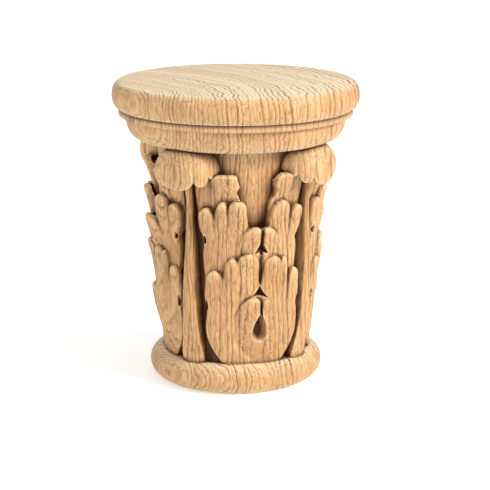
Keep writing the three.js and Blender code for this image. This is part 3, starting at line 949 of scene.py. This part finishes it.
# The count of years from the pith to a place, where the rings widen outwards
def yearCount(tree, inMm):
    wander = grainNoise(tree, inMm, "wander", "Color")
    tremble = grainNoise(tree, inMm, "tremble", "Color")
    wandered = pushed(tree, inMm, wander, wood["wanderReach"])
    trembled = pushed(tree, wandered, tremble, wood["trembleReach"])
    pith = math.radians(wood["pithAngle"])
    lean = math.radians(wood["pithLean"])
    centre = (-wood["pithDistance"] * math.sin(pith), wood["pithDistance"] * math.cos(pith), 0)
    parts = tree.nodes.new("ShaderNodeSeparateXYZ")
    feed(tree, parts.inputs[0], mapped(tree, trembled, shift=centre, turn=(lean, lean * 0.4, 0)))
    squares = calc(tree, "ADD", times(tree, parts.outputs[0], parts.outputs[0]),
                   times(tree, parts.outputs[1], parts.outputs[1]))
    power = 1 - wood["widening"]
    perDistance = wood["spacingDistance"] ** wood["widening"] / (power * wood["ringSpacing"])
    return times(tree, calc(tree, "POWER", squares, power / 2), perDistance)


# A ring's early wood fades out over the year's growth, and its edge is a thin dark line. Every
# ring has its own strength, and the line is broken along the fibres.
def ringMarks(tree, inMm):
    years = yearCount(tree, inMm)
    phase = calc(tree, "FRACT", years)
    rise = times(tree, phase, wood["lineRise"], clamp=True)
    faded = times(tree, phase, wood["lineFade"], clamp=True)
    fade = calc(tree, "SUBTRACT", 1.0, faded, clamp=True)
    perRing = tree.nodes.new("ShaderNodeTexWhiteNoise")
    perRing.noise_dimensions = "1D"
    feed(tree, perRing.inputs["W"], calc(tree, "FLOOR", years))
    chance = calc(tree, "POWER", perRing.outputs["Value"], 1.5)
    strength = between(tree, chance, (-0.2, 0.85))
    shape = times(tree, rise, calc(tree, "POWER", fade, 3.4))
    broken = times(tree, grainMarks(tree, inMm, "broken"), wood["lineGain"])
    line = times(tree, times(tree, shape, strength), broken, clamp=True)
    return line, calc(tree, "POWER", fade, 2.0), strength


# Colour of the wood, laid over the pale ground one mark after another. The pale end-grain layer is also
# a painted highlight on the top, the edge layer is a painted highlight, and recesses and creases end in
# painted shade.
def woodColour(tree, inMm, line, early, strength, fibre, pores, endGrainAndHighlightShare):
    streakShare = calc(tree, "SUBTRACT", wood["streakShare"], times(tree, endGrainAndHighlightShare, 0.6))
    endGain = times(tree, endGrainAndHighlightShare, 0.2)
    earlyShare = times(tree, strength, calc(tree, "ADD", wood["softRingShare"], endGain))
    fibreMarks = between(tree, fibre, grainNoises["fibre"]["levels"])
    layers = (
        ("tan", times(tree, grainMarks(tree, inMm, "patch"), wood["patchShare"])),
        # faces turned up or down: pale end grain, which also paints the highlight of the lit top
        ("paleEndGrainAndTopHighlight", endGrainAndHighlightShare),
        ("tan", times(tree, grainMarks(tree, inMm, "streak"), streakShare)),
        ("tan", times(tree, early, earlyShare, clamp=True)),
        ("line", times(tree, line, wood["lineShare"])),
        ("line", times(tree, pores, wood["poreShare"])),
        ("tan", times(tree, fibreMarks, wood["fibreShare"])),
        # painted highlight on edges that bend outwards
        ("edgeHighlight", times(tree, attribute(tree, "edgeHighlightMark"), wood["edgeHighlightShare"])),
    )
    colour = wood["pale"]
    for tint, share in layers:
        colour = mixed(tree, share, colour, wood[tint])
    # painted shade: recesses and creases are darkened towards a deep brown where shade falls
    recess = between(tree, attribute(tree, "recess"), wood["paintedShadeRange"])
    crease = times(tree, attribute(tree, "crease"), wood["creaseShadeShare"])
    shade = calc(tree, "ADD", recess, crease, clamp=True)
    return mixed(tree, shade, colour, mixed(tree, 1.0, colour, wood["paintedShadeTint"], "MULTIPLY"))


# Fibres stand up, lines and pores are sunk, and end grain is sanded smoother
def woodBump(tree, line, fibre, pores, endGrainAndHighlightShare):
    sunk = calc(tree, "ADD", times(tree, line, 0.5), times(tree, pores, 0.5))
    height = calc(tree, "SUBTRACT", times(tree, fibre, 0.6), sunk)
    sanded = calc(tree, "SUBTRACT", 1.0, times(tree, endGrainAndHighlightShare, 0.85))
    node = tree.nodes.new("ShaderNodeBump")
    feed(tree, node.inputs["Strength"], wood["bumpStrength"])
    feed(tree, node.inputs["Distance"], wood["bumpDepth"] * mm)
    feed(tree, node.inputs["Height"], times(tree, height, sanded))
    return node.outputs[0]


def woodMaterial():
    material = bpy.data.materials.new("blondWood")
    material.use_nodes = True
    tree = material.node_tree
    tree.nodes.clear()
    out = tree.nodes.new("ShaderNodeOutputMaterial")
    shader = tree.nodes.new("ShaderNodeBsdfPrincipled")
    place = tree.nodes.new("ShaderNodeTexCoord")
    inMm = mapped(tree, place.outputs["Object"], scale=(1 / mm, 1 / mm, 1 / mm))
    line, early, strength = ringMarks(tree, inMm)
    fibre = grainNoise(tree, inMm, "fibre")
    pores = grainMarks(tree, inMm, "pores")
    # share of faces turned up or down, for end grain and for the painted highlight of the lit top
    endGrainAndHighlightShare = times(tree, calc(tree, "POWER", attribute(tree, "endGrain"), 3.0), wood["endGrainAndHighlightShare"])
    colour = woodColour(tree, inMm, line, early, strength, fibre, pores, endGrainAndHighlightShare)
    rough = calc(tree, "ADD", times(tree, fibre, wood["fibreRoughness"]), wood["roughness"] - 0.08)
    feed(tree, shader.inputs["Base Color"], colour)
    feed(tree, shader.inputs["Roughness"], rough)
    feed(tree, shader.inputs["Specular IOR Level"], wood["specular"])
    feed(tree, shader.inputs["Normal"], woodBump(tree, line, fibre, pores, endGrainAndHighlightShare))
    feed(tree, out.inputs["Surface"], shader.outputs[0])
    return material


woodFinish = woodMaterial()
body = revolved("capitalCarved", turnedProfile(), turned["sides"])
quarter = carvedQuarter()
tree, countSocket, finishSocket = roundTheAxis()
repeat = quarter.modifiers.new("roundTheAxis", "NODES")
repeat.node_group = tree
repeat[countSocket] = carving["leaves"]
repeat[finishSocket] = woodFinish
applied(quarter)
print("four quarters:", triangleCount(quarter), "triangles")
combined(body, quarter, "UNION")
print("joined:", triangleCount(body), "triangles")
thinned(body, carving["mostTriangles"])
healed(body)
print("capital:", triangleCount(body), "triangles")
body.data.materials.clear()
body.data.materials.append(woodFinish)
markSurface(body)
print("surface marked")
body.data.shade_smooth()
body.data.set_sharp_from_angle(angle=math.radians(50))
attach(body, "root")
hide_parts("capital")

stage = {
    "floorSize": 6.0,
    "floorColour": (0.93, 0.925, 0.92),
    "floorGlow": 0.26,
    "worldColour": (1.0, 0.99, 0.98),
    "worldStrength": 0.78,
}


def plainMaterial(name, colour, roughness, glow):
    material = bpy.data.materials.new(name)
    material.use_nodes = True
    shader = material.node_tree.nodes["Principled BSDF"]
    shader.inputs["Base Color"].default_value = (*colour, 1)
    shader.inputs["Roughness"].default_value = roughness
    shader.inputs["Emission Color"].default_value = (1, 1, 1, 1)
    shader.inputs["Emission Strength"].default_value = glow
    return material


def addFloor():
    half = stage["floorSize"] / 2
    mesh = bpy.data.meshes.new("floor")
    mesh.from_pydata([(-half, -half, 0), (half, -half, 0), (half, half, 0), (-half, half, 0)],
                     [], [(0, 1, 2, 3)])
    floor = bpy.data.objects.new("floor", mesh)
    bpy.context.collection.objects.link(floor)
    mesh.materials.append(plainMaterial("paleFloor", stage["floorColour"], 0.9, stage["floorGlow"]))


def addWorld():
    world = bpy.data.worlds.new("softWhite")
    world.use_nodes = True
    shade = world.node_tree.nodes["Background"]
    shade.inputs["Color"].default_value = (*stage["worldColour"], 1)
    shade.inputs["Strength"].default_value = stage["worldStrength"]
    bpy.context.scene.world = world


lamps = {
    "keyRight": {"place": (0.82, -0.77, 0.73), "size": 0.4, "power": 21.5,
                 "colour": (1, 0.97, 0.9)},
    "fillLeft": {"place": (-1.05, -0.55, 0.45), "size": 0.6, "power": 5.8,
                 "colour": (1, 0.98, 0.96)},
}
aimedAt = (0, 0, 0.08)


def addArea(name, place, size, power, colour):
    light = bpy.data.lights.new(name, "AREA")
    light.size = size
    light.energy = power
    light.color = colour
    lamp = bpy.data.objects.new(name, light)
    lamp.location = place
    away = Vector(place) - Vector(aimedAt)
    flat = math.hypot(away[0], away[1])
    lamp.rotation_euler = (math.atan2(flat, away[2]), 0, math.atan2(away[0], -away[1]))
    bpy.context.collection.objects.link(lamp)


view = {
    "place": (-0.1788, -0.7745, 0.2686),
    "tilt": 75.70,
    "turn": -13.0,
    "lens": 119.22,
    "shift": 0.0188,
}


def addCamera():
    lens = bpy.data.cameras.new("camera")
    lens.sensor_width = 36
    lens.lens = view["lens"]
    lens.shift_x = view["shift"]
    camera = bpy.data.objects.new("camera", lens)
    camera.location = view["place"]
    camera.rotation_euler = (math.radians(view["tilt"]), 0, math.radians(view["turn"]))
    bpy.context.collection.objects.link(camera)
    bpy.context.scene.camera = camera


addFloor()
addWorld()
for name, lamp in lamps.items():
    addArea(name, **lamp)
addCamera()
bpy.context.scene.view_settings.view_transform = "Standard"
